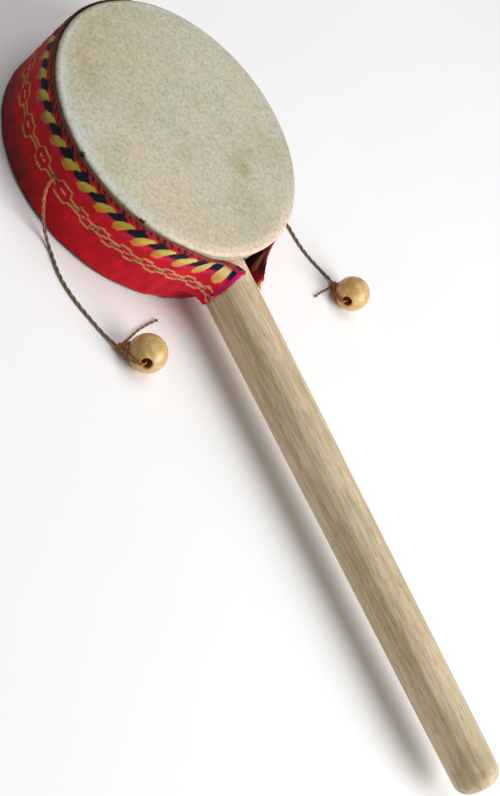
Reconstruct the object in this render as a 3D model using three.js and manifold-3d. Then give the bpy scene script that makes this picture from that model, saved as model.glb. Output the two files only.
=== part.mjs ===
// A pellet drum (a twist-handle rattle drum) lying face up: a turned wooden shell with a hide head
// on each side, a woven ribbon glued round it, a round stick for a handle, and two twine cords
// that each carry a wooden bead. Swung by the stick, the beads beat the heads.
//
// Millimetres. +Z is up, square to the heads. The handle runs towards -Y and the drum is at +Y.
// The origin is on the floor, below the middle of the drum and handle together.

import * as THREE from "three";
import { mergeVertices } from "three/addons/utils/BufferGeometryUtils.js";
import Module from "manifold-3d";

const wasm = await Module();
wasm.setup();

// ---- Driving dimensions -------------------------------------------------------------------

const GAP = 0.3; // between two pieces that touch

// The drum is bent a little out of round: wider across the handle than in line with it.
const HEAD_RADIUS = 51; // mean radius over the hide
const OUT_OF_ROUND = 1 / 30; // share of the radius added across the handle and taken along it
const DRUM_HEIGHT = 30.9; // over both heads
const DRUM_SEGMENTS = 60;

const HIDE = 0.8; // thickness of a head
const HEAD_EDGE = 1.4; // radius where the face turns down into the skirt
const SKIRT_DEPTH = 11; // how far the hide comes down the side
const SKIRT_CLEARANCE = 0.7; // round the handle, where the skirt is notched

const SHELL_WALL = 9;
const SHELL_BEVEL = 0.9; // on the shell's edges, under the heads

const RIBBON = 0.85; // thickness of the woven ribbon
const RIBBON_FRONT = 29.45; // height of its front selvedge
const RIBBON_BACK = 0.5; // height of its back selvedge

const HANDLE_HEIGHT = 16; // of its axis
const HANDLE_ROOT_RADIUS = 9.3;
const HANDLE_TIP_RADIUS = 8.2;
const HANDLE_REACH = 241.8; // from the drum's centre to the tip
const HANDLE_INSET = 38.8; // from the drum's centre to the inner end, just through the wall
const HANDLE_TIP_ROUND = 5.2; // radius of the tip's edge
const HANDLE_END_BEVEL = 1; // on the inner end
const HANDLE_SEGMENTS = 32;

const BEAD_RADIUS = 6.7;
const BEAD_HOLE = 1.85; // radius
const BEAD_SEGMENTS = 20;
const FLOOR_GAP = 0.02; // under a bead and a cord's tip

const TWINE = 0.6; // radius
const TWINE_SIDES = 8;
const TWINE_STEP = 4 * TWINE; // two diameters
const CORD_HOLE = 1.1; // radius of the hole in ribbon and wall that a cord leaves by
const CORD_HOLE_SEGMENTS = 12;
const CORD_HOLE_HEIGHT = 15.7;
const CORD_HOLE_ANGLE = 83.5; // degrees round the drum from the handle, on each side

// ---- Dimensions that follow ---------------------------------------------------------------

const ACROSS = 1 + OUT_OF_ROUND;
const ALONG = 1 - OUT_OF_ROUND;
const SHELL_RADIUS = HEAD_RADIUS - HIDE - GAP;
const RIBBON_RADIUS = HEAD_RADIUS + GAP + RIBBON / 2; // to the middle of its thickness
const RIBBON_OUTSIDE = (RIBBON_RADIUS + RIBBON / 2) * ALONG;
const DRUM_Y = (HANDLE_REACH - RIBBON_OUTSIDE) / 2; // puts the origin midway along the whole
const UP = new THREE.Vector3(0, 0, 1);

// ---- Materials ----------------------------------------------------------------------------

const shellWood = new THREE.MeshStandardMaterial({ color: 0xa9814f, roughness: 0.75 });
const hide = new THREE.MeshStandardMaterial({ color: 0xc9bfa2, roughness: 0.6 });
const cloth = new THREE.MeshStandardMaterial({ color: 0xa5142a, roughness: 0.95 });
const handleWood = new THREE.MeshStandardMaterial({ color: 0xcdb48a, roughness: 0.65 });
const beadWood = new THREE.MeshStandardMaterial({ color: 0xd9b56c, roughness: 0.35 });
const twine = new THREE.MeshStandardMaterial({ color: 0x8a5a36, roughness: 0.9 });

// ---- Solids -------------------------------------------------------------------------------

function solidOf(geometry) {
  const bare = geometry.clone();
  for (const name of Object.keys(bare.attributes)) {
    if (name !== "position") bare.deleteAttribute(name);
  }
  const closed = mergeVertices(bare, 1e-4);
  return new wasm.Manifold(
    new wasm.Mesh({
      numProp: 3,
      vertProperties: new Float32Array(closed.attributes.position.array),
      triVerts: new Uint32Array(closed.index.array),
    }),
  );
}

function geometryOf(solid) {
  const mesh = solid.getMesh();
  return new THREE.BufferGeometry()
    .setAttribute("position", new THREE.BufferAttribute(mesh.vertProperties, 3))
    .setIndex(new THREE.BufferAttribute(mesh.triVerts, 1));
}

function cut(geometry, ...tools) {
  return geometryOf(tools.reduce((rest, tool) => rest.subtract(solidOf(tool)), solidOf(geometry)));
}

function join(...pieces) {
  return geometryOf(pieces.map(solidOf).reduce((whole, piece) => whole.add(piece)));
}

function named(name, geometry, material) {
  const mesh = new THREE.Mesh(geometry, material);
  mesh.name = name;
  return mesh;
}

// A profile of [radius, height] turned round the upright axis, then drawn out of round as the
// drum is. The profile runs up on the outside, so that the faces point out.
function turnedForDrum(profile) {
  const points = profile.map(([radius, height]) => new THREE.Vector2(radius, height));
  return new THREE.LatheGeometry(points, DRUM_SEGMENTS)
    .rotateX(Math.PI / 2)
    .scale(ACROSS, ALONG, 1);
}

// Points of a quarter circle as [radius, height], from one angle to another in degrees.
function arcPoints(centreRadius, centreHeight, radius, from, to, steps) {
  return Array.from({ length: steps + 1 }, (_, i) => {
    const angle = THREE.MathUtils.degToRad(from + ((to - from) * i) / steps);
    return [centreRadius + radius * Math.cos(angle), centreHeight + radius * Math.sin(angle)];
  });
}

// A straight rod along -Y at the handle's height, from the drum's centre outwards.
function handleClearance(radius) {
  return new THREE.CylinderGeometry(radius, radius, 2 * HEAD_RADIUS, HANDLE_SEGMENTS).translate(
    0,
    -HEAD_RADIUS,
    HANDLE_HEIGHT,
  );
}

// A rod that runs out of the drum's centre through the wall where a cord leaves.
function cordClearance(side) {
  const turn = THREE.MathUtils.degToRad(90 - CORD_HOLE_ANGLE) * side;
  return new THREE.CylinderGeometry(CORD_HOLE, CORD_HOLE, HEAD_RADIUS, CORD_HOLE_SEGMENTS)
    .rotateZ(Math.PI / 2)
    .translate(side * (SHELL_RADIUS - SHELL_WALL / 2), 0, CORD_HOLE_HEIGHT)
    .rotateZ(-turn);
}

// ---- Drum ---------------------------------------------------------------------------------

function shellGeometry() {
  const low = HIDE + GAP;
  const high = DRUM_HEIGHT - low;
  const inside = SHELL_RADIUS - SHELL_WALL;
  const profile = [
    [inside, low],
    [SHELL_RADIUS - SHELL_BEVEL, low],
    [SHELL_RADIUS, low + SHELL_BEVEL],
    [SHELL_RADIUS, high - SHELL_BEVEL],
    [SHELL_RADIUS - SHELL_BEVEL, high],
    [inside, high],
    [inside, low],
  ];
  return cut(
    turnedForDrum(profile),
    handleClearance(HANDLE_ROOT_RADIUS + GAP),
    cordClearance(-1),
    cordClearance(1),
  );
}

// A head: a flat face turned round its edge into a skirt that comes down the shell's side and is
// notched round the handle. The back head's face is on the floor, the front head is the same
// turned over, and the handle sits a little nearer to the front one.
function headGeometry(isFront) {
  const edge = HEAD_RADIUS - HEAD_EDGE;
  const profile = [
    [0, 0],
    ...arcPoints(edge, HEAD_EDGE, HEAD_EDGE, -90, 0, 3),
    [HEAD_RADIUS, SKIRT_DEPTH],
    [HEAD_RADIUS - HIDE, SKIRT_DEPTH],
    ...arcPoints(edge, HEAD_EDGE, HEAD_EDGE - HIDE, 0, -90, 1),
    [0, HIDE],
  ];
  const turnedOver = profile.map(([radius, height]) => [radius, DRUM_HEIGHT - height]).reverse();
  return cut(
    turnedForDrum(isFront ? turnedOver : profile),
    handleClearance(HANDLE_ROOT_RADIUS + SKIRT_CLEARANCE),
  );
}

// ---- Ribbon -------------------------------------------------------------------------------

// The ribbon goes round the drum from one side of the handle to the other. Its two cut ends
// leave the drum's side and flare out along the handle, most at the handle's own height.

const LEAVE_ANGLE = THREE.MathUtils.degToRad(23.5); // where it leaves the side, from the handle
const FLARE = 7.5; // how far its end stands out along the handle
const FLARE_AT_FRONT = 3; // how far its front corner does
const FLARE_HALF_HEIGHT = 10; // above and below the axis, where the flare has halved
const HUG_RADIUS = HANDLE_ROOT_RADIUS + GAP + RIBBON / 2 + 0.15; // of an end, on the handle
const HUG_SOFTNESS = 4; // mm2, how gently an end's edge closes over the handle's top
const LEAST_HALF_WIDTH = 0.5; // of the slit between the two ends, below the handle
const TRIM = 5; // how far the left end's front corner is cut back
const TRIM_HEIGHT = 26.2; // where that slanting cut starts
const RIGHT_LEAN = 0.7; // how far the right end's front corner leans in over the handle

// How far each cut edge is from the handle's upright middle plane. Below the handle's axis both
// edges lie on the handle. Above it the left one closes over it, and the right one stands beside it.
function edgeOnHandle(height) {
  const rise = height - HANDLE_HEIGHT;
  const square = HUG_RADIUS ** 2 - rise ** 2;
  return Math.sqrt((square + Math.hypot(square, HUG_SOFTNESS)) / 2 + LEAST_HALF_WIDTH ** 2);
}

function leftEdge(height) {
  return edgeOnHandle(height) + TRIM * THREE.MathUtils.smoothstep(height, TRIM_HEIGHT, RIBBON_FRONT);
}

function rightEdge(height) {
  const lean = RIGHT_LEAN * THREE.MathUtils.smoothstep(height, HANDLE_HEIGHT, RIBBON_FRONT);
  return height > HANDLE_HEIGHT ? HUG_RADIUS - lean : edgeOnHandle(height);
}

function flareAt(height) {
  const least = FLARE_AT_FRONT * THREE.MathUtils.smoothstep(height, HANDLE_HEIGHT, RIBBON_FRONT);
  return least + (FLARE - least) / (1 + ((height - HANDLE_HEIGHT) / FLARE_HALF_HEIGHT) ** 6);
}

// The point of the drum's side at an angle from the handle, seen from above (left is -X).
function sidePoint(angle) {
  return new THREE.Vector2(
    -RIBBON_RADIUS * ACROSS * Math.sin(angle),
    -RIBBON_RADIUS * ALONG * Math.cos(angle),
  );
}

// A flared end's line at one height, from the drum's left side to a cut edge.
function endCurve(height, halfWidth) {
  const start = sidePoint(LEAVE_ANGLE);
  const onward = sidePoint(LEAVE_ANGLE - 0.01).sub(start).normalize();
  const flare = flareAt(height);
  const edge = new THREE.Vector2(-halfWidth, -RIBBON_RADIUS * ALONG - flare);
  const reach = start.distanceTo(edge) / 3;
  const outward = flare / FLARE;
  const heading = new THREE.Vector2(1 - outward, -outward).normalize();
  return new THREE.CubicBezierCurve(
    start,
    start.clone().addScaledVector(onward, reach),
    edge.clone().addScaledVector(heading, -reach),
    edge,
  );
}

const END_STEPS = 7;
const SIDE_STEPS = 50;
const RIBBON_ROWS = 8;
const SLOPE_STEP = 0.02; // in stations and in millimetres, for the sheet's slopes

// The ribbon's middle surface: station 0 is the left cut edge, the last is the right one.
function ribbonPoint(station, height) {
  const last = 2 * END_STEPS + SIDE_STEPS;
  let flat;
  if (station < END_STEPS) {
    flat = endCurve(height, leftEdge(height)).getPoint(1 - station / END_STEPS);
  } else if (station > last - END_STEPS) {
    flat = endCurve(height, rightEdge(height)).getPoint(1 - (last - station) / END_STEPS);
    flat.x *= -1;
  } else {
    const share = (station - END_STEPS) / SIDE_STEPS;
    flat = sidePoint(LEAVE_ANGLE + share * 2 * (Math.PI - LEAVE_ANGLE));
  }
  return new THREE.Vector3(flat.x, flat.y, height);
}

// The direction out of the ribbon's face, square to the surface.
function ribbonNormal(station, height) {
  const before = ribbonPoint(station - SLOPE_STEP, height);
  const below = ribbonPoint(station, height - SLOPE_STEP);
  const along = ribbonPoint(station + SLOPE_STEP, height).sub(before);
  const rise = ribbonPoint(station, height + SLOPE_STEP).sub(below);
  return rise.cross(along).normalize();
}

// A closed sheet between an inner and an outer skin, on a grid of stations and heights.
function ribbonGeometry() {
  const rows = RIBBON_ROWS;
  const stations = 2 * END_STEPS + SIDE_STEPS;
  const positions = [];
  for (const side of [-1, 1]) {
    for (let i = 0; i <= stations; i += 1) {
      const station = THREE.MathUtils.clamp(i, SLOPE_STEP, stations - SLOPE_STEP);
      for (let j = 0; j <= rows; j += 1) {
        const height = THREE.MathUtils.lerp(RIBBON_BACK, RIBBON_FRONT, j / rows);
        const out = ribbonNormal(station, height);
        const point = ribbonPoint(i, height).addScaledVector(out, (side * RIBBON) / 2);
        point.z = height;
        positions.push(point.x, point.y, point.z);
      }
    }
  }
  const at = (side, i, j) => (side * (stations + 1) + i) * (rows + 1) + j;
  const faces = [];
  const quad = (a, b, c, d) => faces.push(a, b, c, a, c, d);
  for (let i = 0; i < stations; i += 1) {
    for (let j = 0; j < rows; j += 1) {
      quad(at(1, i, j), at(1, i, j + 1), at(1, i + 1, j + 1), at(1, i + 1, j));
      quad(at(0, i, j), at(0, i + 1, j), at(0, i + 1, j + 1), at(0, i, j + 1));
    }
    quad(at(0, i, 0), at(1, i, 0), at(1, i + 1, 0), at(0, i + 1, 0));
    quad(at(0, i, rows), at(0, i + 1, rows), at(1, i + 1, rows), at(1, i, rows));
  }
  for (let j = 0; j < rows; j += 1) {
    quad(at(0, 0, j), at(0, 0, j + 1), at(1, 0, j + 1), at(1, 0, j));
    quad(at(0, stations, j), at(1, stations, j), at(1, stations, j + 1), at(0, stations, j + 1));
  }
  const sheet = new THREE.BufferGeometry()
    .setAttribute("position", new THREE.Float32BufferAttribute(positions, 3))
    .setIndex(faces);
  return cut(sheet, cordClearance(-1), cordClearance(1));
}

// ---- Handle -------------------------------------------------------------------------------

// A plain tapered stick, its tip rounded over and its inner end just through the shell's wall.
function handleGeometry() {
  const tip = HANDLE_TIP_RADIUS - HANDLE_TIP_ROUND;
  const tipArc = arcPoints(tip, HANDLE_TIP_ROUND - HANDLE_REACH, HANDLE_TIP_ROUND, -90, 0, 5);
  const profile = [
    [0, -HANDLE_REACH],
    ...tipArc,
    [HANDLE_ROOT_RADIUS, -HEAD_RADIUS],
    [HANDLE_ROOT_RADIUS, -HANDLE_INSET - HANDLE_END_BEVEL],
    [HANDLE_ROOT_RADIUS - HANDLE_END_BEVEL, -HANDLE_INSET],
    [0, -HANDLE_INSET],
  ];
  const points = profile.map(([radius, y]) => new THREE.Vector2(radius, y));
  return new THREE.LatheGeometry(points, HANDLE_SEGMENTS).translate(0, 0, HANDLE_HEIGHT);
}

// ---- Cords, beads and their ties ----------------------------------------------------------

// Each cord leaves its hole level, droops to the floor and lies there as far as its knot.
const LEFT_ROUTE = [
  [-48.4, 90.3, 15.7],
  [-51.0, 90.0, 15.7],
  [-53.4, 89.7, 15.6],
  [-55.2, 89.0, 14.9],
  [-56.4, 87.6, 13.2],
  [-56.9, 85.8, 11.3],
  [-56.8, 83.9, 9.3],
  [-56.4, 82.0, 7.2],
  [-55.8, 80.3, 5.3],
  [-55.1, 78.5, 3.6],
  [-54.5, 76.4, 2.1],
  [-54.2, 73.9, 1.1],
  [-54.3, 71.0, 0.7],
  [-54.8, 68.0, 0.65],
  [-55.3, 64.6, 0.65],
  [-55.4, 61.0, 0.65],
  [-55.0, 57.4, 0.65],
  [-54.2, 53.8, 0.65],
  [-53.1, 50.2, 0.65],
  [-51.8, 46.6, 0.65],
  [-50.4, 43.0, 0.65],
  [-49.0, 39.6, 0.75],
  [-47.5, 36.4, 1.1],
];
const RIGHT_ROUTE = [
  [48.4, 90.3, 15.7],
  [51.0, 90.0, 15.7],
  [53.4, 89.7, 15.6],
  [55.4, 88.5, 14.9],
  [57.4, 86.1, 13.2],
  [59.4, 83.2, 10.9],
  [61.4, 80.0, 8.4],
  [63.4, 76.6, 6.0],
  [65.5, 73.0, 3.9],
  [67.5, 69.3, 2.2],
  [69.2, 65.7, 1.1],
  [70.2, 62.2, 0.7],
  [70.6, 58.8, 0.65],
  [71.0, 55.4, 0.65],
  [71.8, 52.0, 0.65],
  [73.0, 48.6, 0.65],
  [74.5, 45.5, 0.65],
  [76.0, 42.7, 0.65],
  [77.3, 40.1, 0.75],
  [78.0, 37.5, 1.1],
];

// What each cord ends in: the bead's centre, the way its hole points, the knot beside it, and
// the free tail of twine that lies on the floor from the knot to its tip.
const LEFT_END = {
  bead: [-41.0, 28.4],
  hole: { turn: -143, rise: 17 },
  knot: [-46.5, 34.5, 1.4],
  tail: [
    [-46.5, 34.5, 1.4],
    [-43.4, 35.3, 0.9],
    [-38.5, 36.7, 0.65],
    [-33.4, 38.3, 0.65],
    [-28.0, 39.4, 0.65],
    [-23.0, 40.0, 0.65],
  ],
};
const RIGHT_END = {
  bead: [78.9, 28.8],
  hole: { turn: -159, rise: 1 },
  knot: [78.0, 35.5, 1.4],
  tail: [
    [78.0, 35.5, 1.4],
    [75.3, 35.1, 0.8],
    [71.6, 34.5, 0.65],
    [68.3, 34.0, 0.65],
    [65.1, 33.3, 0.65],
  ],
};

const LOOP_RADIUS = BEAD_RADIUS + TWINE + GAP; // of the tie's loop where it lies on the bead
const LOOP_STEP = 1.8 * TWINE;
const WRAP_START = 0.44; // radians from the hole's axis, where the twine first lies on the bead
const WRAP_POINTS = 4;
const KNOT_SEMI_AXES = [1.6, 1.4, 1.35];
const TAIL_TIP = 0.93; // radius of the small knob at the tail's end

// The twine where it turns out of the hole, as [beyond the bead along the hole, sideways].
const MOUTH = [
  [-2.2, 0],
  [0.3, 0.75],
  [0.75, 1.9],
];

function vectors(points) {
  return points.map(([x, y, z]) => new THREE.Vector3(x, y, z));
}

// A round cord through a list of points, in steps of about the given length.
function twineAlong(points, step) {
  const curve = new THREE.CatmullRomCurve3(points);
  const section = new THREE.Shape(
    Array.from({ length: TWINE_SIDES }, (_, i) => {
      const angle = ((i + 0.5) * 2 * Math.PI) / TWINE_SIDES;
      return new THREE.Vector2(TWINE * Math.cos(angle), TWINE * Math.sin(angle));
    }),
  );
  return new THREE.ExtrudeGeometry(section, {
    steps: Math.round(curve.getLength() / step),
    bevelEnabled: false,
    extrudePath: curve,
  });
}

function holeDirection({ turn, rise }) {
  const { degToRad } = THREE.MathUtils;
  return new THREE.Vector3(1, 0, 0)
    .applyAxisAngle(new THREE.Vector3(0, 1, 0), -degToRad(rise))
    .applyAxisAngle(UP, degToRad(turn));
}

// A round bead, its hole running up along its own axis.
function beadGeometry() {
  const edge = THREE.MathUtils.radToDeg(Math.asin(BEAD_HOLE / BEAD_RADIUS));
  const outside = arcPoints(0, 0, BEAD_RADIUS, edge - 90, 90 - edge, 10);
  const points = [...outside, outside[0]].map(([radius, y]) => new THREE.Vector2(radius, y));
  return new THREE.LatheGeometry(points, BEAD_SEGMENTS);
}

// The twine's loop through a bead: out of the knot, over the bead to one mouth of the hole,
// through it, and over the bead back to the knot. The whole loop lies in one plane.
function loopPoints(end) {
  const centre = new THREE.Vector3(...end.bead, BEAD_RADIUS + FLOOR_GAP);
  const axis = holeDirection(end.hole);
  const toKnot = new THREE.Vector3(...end.knot).sub(centre);
  const away = toKnot.length();
  const side = toKnot.clone().addScaledVector(axis, -toKnot.dot(axis)).normalize();
  const knotAngle = axis.angleTo(toKnot);
  const touch = Math.acos(LOOP_RADIUS / away);
  const inPlane = (alongAxis, sideways) =>
    centre.clone().addScaledVector(axis, alongAxis).addScaledVector(side, sideways);
  const half = (way) => {
    const last = (way > 0 ? knotAngle : Math.PI - knotAngle) - touch;
    const mouth = MOUTH.map(([beyond, sideways]) => inPlane(way * (BEAD_RADIUS + beyond), sideways));
    const wrap = Array.from({ length: WRAP_POINTS }, (_, i) => {
      const angle = THREE.MathUtils.lerp(WRAP_START, last, i / (WRAP_POINTS - 1));
      return inPlane(way * LOOP_RADIUS * Math.cos(angle), LOOP_RADIUS * Math.sin(angle));
    });
    return [...mouth, ...wrap];
  };
  const knot = new THREE.Vector3(...end.knot);
  return [knot, ...half(1).reverse(), ...half(-1), knot.clone()];
}

function tieGeometry(end) {
  const knot = new THREE.IcosahedronGeometry(1, 1)
    .scale(...KNOT_SEMI_AXES)
    .translate(...end.knot);
  const tail = vectors(end.tail);
  const { x, y } = tail.at(-1);
  const tip = new THREE.IcosahedronGeometry(TAIL_TIP, 1).translate(x, y, TAIL_TIP + FLOOR_GAP);
  return join(knot, twineAlong(loopPoints(end), LOOP_STEP), twineAlong(tail, TWINE_STEP), tip);
}

function cordAndBead(side, route, end) {
  const group = new THREE.Group();
  group.add(named(`${side}_cord`, twineAlong(vectors(route), TWINE_STEP), twine));
  const bead = named(`${side}_bead`, beadGeometry(), beadWood);
  bead.position.set(...end.bead, BEAD_RADIUS + FLOOR_GAP);
  bead.quaternion.setFromUnitVectors(new THREE.Vector3(0, 1, 0), holeDirection(end.hole));
  group.add(bead);
  group.add(named(`${side}_tie`, tieGeometry(end), twine));
  return group;
}

// ---- The whole ----------------------------------------------------------------------------

const drum = new THREE.Group();
drum.position.y = DRUM_Y;
drum.add(named("drum_shell", shellGeometry(), shellWood));
drum.add(named("front_head", headGeometry(true), hide));
drum.add(named("back_head", headGeometry(false), hide));
drum.add(named("woven_ribbon", ribbonGeometry(), cloth));
drum.add(named("handle", handleGeometry(), handleWood));

const pelletDrum = new THREE.Group();
pelletDrum.add(drum);
pelletDrum.add(cordAndBead("left", LEFT_ROUTE, LEFT_END));
pelletDrum.add(cordAndBead("right", RIGHT_ROUTE, RIGHT_END));

export default pelletDrum;
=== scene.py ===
"""The looks of a pellet drum that lies face up on a pale floor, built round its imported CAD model.

Lengths are in millimetres and are turned into metres where a mesh is made. The frame is the CAD
model's: +Z up, the handle towards -Y, the drum at +Y.
"""

import math
import random

import bpy
import numpy as np
from mathutils import Matrix, Vector, noise


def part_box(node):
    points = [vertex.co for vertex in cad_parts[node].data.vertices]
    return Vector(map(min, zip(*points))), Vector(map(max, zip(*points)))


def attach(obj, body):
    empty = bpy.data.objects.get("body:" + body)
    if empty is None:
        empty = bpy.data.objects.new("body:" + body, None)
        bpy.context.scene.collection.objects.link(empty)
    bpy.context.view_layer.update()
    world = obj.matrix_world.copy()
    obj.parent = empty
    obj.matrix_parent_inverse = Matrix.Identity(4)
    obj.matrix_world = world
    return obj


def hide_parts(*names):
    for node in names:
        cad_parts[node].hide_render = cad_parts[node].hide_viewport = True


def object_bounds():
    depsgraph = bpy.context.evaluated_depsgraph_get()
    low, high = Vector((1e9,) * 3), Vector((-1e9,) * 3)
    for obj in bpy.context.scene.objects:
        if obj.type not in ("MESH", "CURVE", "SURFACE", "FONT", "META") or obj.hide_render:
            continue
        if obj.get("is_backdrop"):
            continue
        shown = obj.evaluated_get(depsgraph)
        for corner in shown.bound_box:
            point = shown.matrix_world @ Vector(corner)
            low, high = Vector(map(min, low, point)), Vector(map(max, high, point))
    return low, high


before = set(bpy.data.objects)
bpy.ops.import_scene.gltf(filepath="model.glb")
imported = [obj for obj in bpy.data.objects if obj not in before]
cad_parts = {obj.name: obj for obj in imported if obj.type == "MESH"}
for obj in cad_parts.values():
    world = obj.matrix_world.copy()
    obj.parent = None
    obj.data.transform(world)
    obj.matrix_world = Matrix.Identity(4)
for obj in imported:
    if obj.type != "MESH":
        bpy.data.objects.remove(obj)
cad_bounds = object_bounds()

MM = 0.001
TURN = 2 * math.pi

# ---- Sizes that the CAD model shares


def box_mm(node):
    low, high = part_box(node)
    return np.array(low) / MM, np.array(high) / MM


HEAD_LOW, HEAD_HIGH = box_mm("front_head")
DRUM_CENTRE = (HEAD_LOW + HEAD_HIGH) / 2
DRUM_Y = DRUM_CENTRE[1]
HEAD_ACROSS, HEAD_ALONG = (HEAD_HIGH - HEAD_LOW)[:2] / 2
HEAD_RADIUS = (HEAD_ACROSS + HEAD_ALONG) / 2
ACROSS = HEAD_ACROSS / HEAD_RADIUS
ALONG = HEAD_ALONG / HEAD_RADIUS
FACE_HEIGHT = HEAD_HIGH[2]
SKIRT_END = HEAD_LOW[2]

RIBBON_LOW, RIBBON_HIGH = box_mm("woven_ribbon")
RIBBON_BACK = RIBBON_LOW[2]
RIBBON_FRONT = RIBBON_HIGH[2]
RIBBON_DEPTH = RIBBON_FRONT - RIBBON_BACK

HANDLE_LOW, HANDLE_HIGH = box_mm("handle")
HANDLE_RADIUS = (HANDLE_HIGH[0] - HANDLE_LOW[0]) / 2
HANDLE_HEIGHT = (HANDLE_LOW[2] + HANDLE_HIGH[2]) / 2
TIP_RADIUS = 8.2
TIP_ROUND = 5.2
HIDE = 0.8
HEAD_EDGE = 1.4
SKIRT_CLEARANCE = 0.7

BEAD_RADIUS = 6.7
BEAD_HOLE = 1.85
TWINE = 0.6
CORD_HOLE_HEIGHT = 15.7
CORD_HOLE_ANGLE = math.radians(83.5)

# Each cord's route, from inside its hole to its knot, and what it ends in, as in the CAD model.
LEFT_ROUTE = [
    (-48.4, 90.3, 15.7), (-51.0, 90.0, 15.7), (-53.4, 89.7, 15.6), (-55.2, 89.0, 14.9),
    (-56.4, 87.6, 13.2), (-56.9, 85.8, 11.3), (-56.8, 83.9, 9.3), (-56.4, 82.0, 7.2),
    (-55.8, 80.3, 5.3), (-55.1, 78.5, 3.6), (-54.5, 76.4, 2.1), (-54.2, 73.9, 1.1),
    (-54.3, 71.0, 0.7), (-54.8, 68.0, 0.65), (-55.3, 64.6, 0.65), (-55.4, 61.0, 0.65),
    (-55.0, 57.4, 0.65), (-54.2, 53.8, 0.65), (-53.1, 50.2, 0.65), (-51.8, 46.6, 0.65),
    (-50.4, 43.0, 0.65), (-49.0, 39.6, 0.75), (-47.5, 36.4, 1.1),
]
RIGHT_ROUTE = [
    (48.4, 90.3, 15.7), (51.0, 90.0, 15.7), (53.4, 89.7, 15.6), (55.4, 88.5, 14.9),
    (57.4, 86.1, 13.2), (59.4, 83.2, 10.9), (61.4, 80.0, 8.4), (63.4, 76.6, 6.0),
    (65.5, 73.0, 3.9), (67.5, 69.3, 2.2), (69.2, 65.7, 1.1), (70.2, 62.2, 0.7),
    (70.6, 58.8, 0.65), (71.0, 55.4, 0.65), (71.8, 52.0, 0.65), (73.0, 48.6, 0.65),
    (74.5, 45.5, 0.65), (76.0, 42.7, 0.65), (77.3, 40.1, 0.75), (78.0, 37.5, 1.1),
]
LEFT_END = {
    "bead": (-41.0, 28.4, 6.72),
    "hole_turn": math.radians(-143),
    "hole_rise": math.radians(17),
    "knot": (-46.5, 34.5, 1.4),
    "tail": [
        (-46.5, 34.5, 1.4), (-43.4, 35.3, 0.9), (-38.5, 36.7, 0.65),
        (-33.4, 38.3, 0.65), (-28.0, 39.4, 0.65), (-23.0, 40.0, 0.65),
    ],
}
RIGHT_END = {
    "bead": (78.9, 28.8, 6.72),
    "hole_turn": math.radians(-159),
    "hole_rise": math.radians(1),
    "knot": (78.0, 35.5, 1.4),
    "tail": [
        (78.0, 35.5, 1.4), (75.3, 35.1, 0.8), (71.6, 34.5, 0.65),
        (68.3, 34.0, 0.65), (65.1, 33.3, 0.65),
    ],
}

# ---- Numbers and meshes


def smooth(low, high, value):
    """0 below low, 1 above high, and an even change between."""
    share = np.clip((value - low) / (high - low), 0, 1)
    return share * share * (3 - 2 * share)


def waves(points, size, seed=0.0):
    """Smooth noise from -1 to 1 at each point, with features of about the given size."""
    flat = np.asarray(points, float).reshape(-1, 3) / size + seed
    values = [noise.noise(Vector(point)) for point in flat]
    return np.array(values).reshape(np.asarray(points).shape[:-1])


def rgb(code):
    """A colour written as on a web page, in the renderer's linear values."""
    shares = [int(code[i : i + 2], 16) / 255 for i in (0, 2, 4)]
    return np.array([s / 12.92 if s <= 0.04045 else ((s + 0.055) / 1.055) ** 2.4 for s in shares])


def hill(value, centre, size):
    """1 at the centre, falling away smoothly on both sides over about the given size."""
    return np.exp(-(((value - centre) / size) ** 2))


def between(value, *stops):
    """A colour for each value, changing evenly between stops of (value, colour)."""
    places = [place for place, _ in stops]
    dyes = np.array([rgb(code) for _, code in stops])
    return np.stack([np.interp(value, places, dyes[:, k]) for k in range(3)], -1)


def unit(vector):
    """A vector's direction, with length 1."""
    return vector / np.linalg.norm(vector)


def add_object(name, data):
    made = bpy.data.objects.new(name, data)
    bpy.context.scene.collection.objects.link(made)
    return made


def make_piece(name, points, faces, paint):
    """A smooth-shaded mesh object that rides on the drum."""
    mesh = bpy.data.meshes.new(name)
    mesh.from_pydata((np.asarray(points, float).reshape(-1, 3) * MM).tolist(), [], faces)
    mesh.polygons.foreach_set("use_smooth", [True] * len(mesh.polygons))
    mesh.materials.append(paint)
    mesh.update()
    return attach(add_object(name, mesh), "root")


def give_values(piece, **values):
    """Stores numbers for each point of a piece, under names that its material reads."""
    for name, numbers in values.items():
        attribute = piece.data.attributes.new(name, "FLOAT", "POINT")
        attribute.data.foreach_set("value", np.asarray(numbers, np.float32).ravel())


def give_colours(piece, name, colours):
    """Stores a colour for each point of a piece, for its material to read."""
    attribute = piece.data.color_attributes.new(name, "FLOAT_COLOR", "POINT")
    rgba = np.ones((len(piece.data.vertices), 4), np.float32)
    rgba[:, :3] = colours
    attribute.data.foreach_set("color", rgba.ravel())


def grid_faces(rows, columns, wrap_rows=False, wrap_columns=False, first=0):
    """Quads over points laid out row by row, starting at point number first."""
    i = np.arange(rows if wrap_rows else rows - 1)[:, None]
    j = np.arange(columns if wrap_columns else columns - 1)[None, :]
    below, right = (i + 1) % rows, (j + 1) % columns
    corners = [i * columns + j, i * columns + right, below * columns + right, below * columns + j]
    return (np.stack(np.broadcast_arrays(*corners), -1).reshape(-1, 4) + first).tolist()


def fan(centre, ring):
    """Triangles from one point to each side of a closed ring of points."""
    return [(centre, a, b) for a, b in zip(ring, ring[1:] + ring[:1])]


def capped_tube(rings):
    """Points and faces of a closed tube through rings (count, sides, 3), both ends closed."""
    count, sides = rings.shape[:2]
    points = np.concatenate([rings.reshape(-1, 3), rings[0].mean(0)[None], rings[-1].mean(0)[None]])
    faces = grid_faces(count, sides, wrap_columns=True)
    start = list(range(sides))
    end = list(range((count - 1) * sides, count * sides))
    faces += fan(count * sides, start[::-1])
    faces += fan(count * sides + 1, end)
    return points, faces


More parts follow.
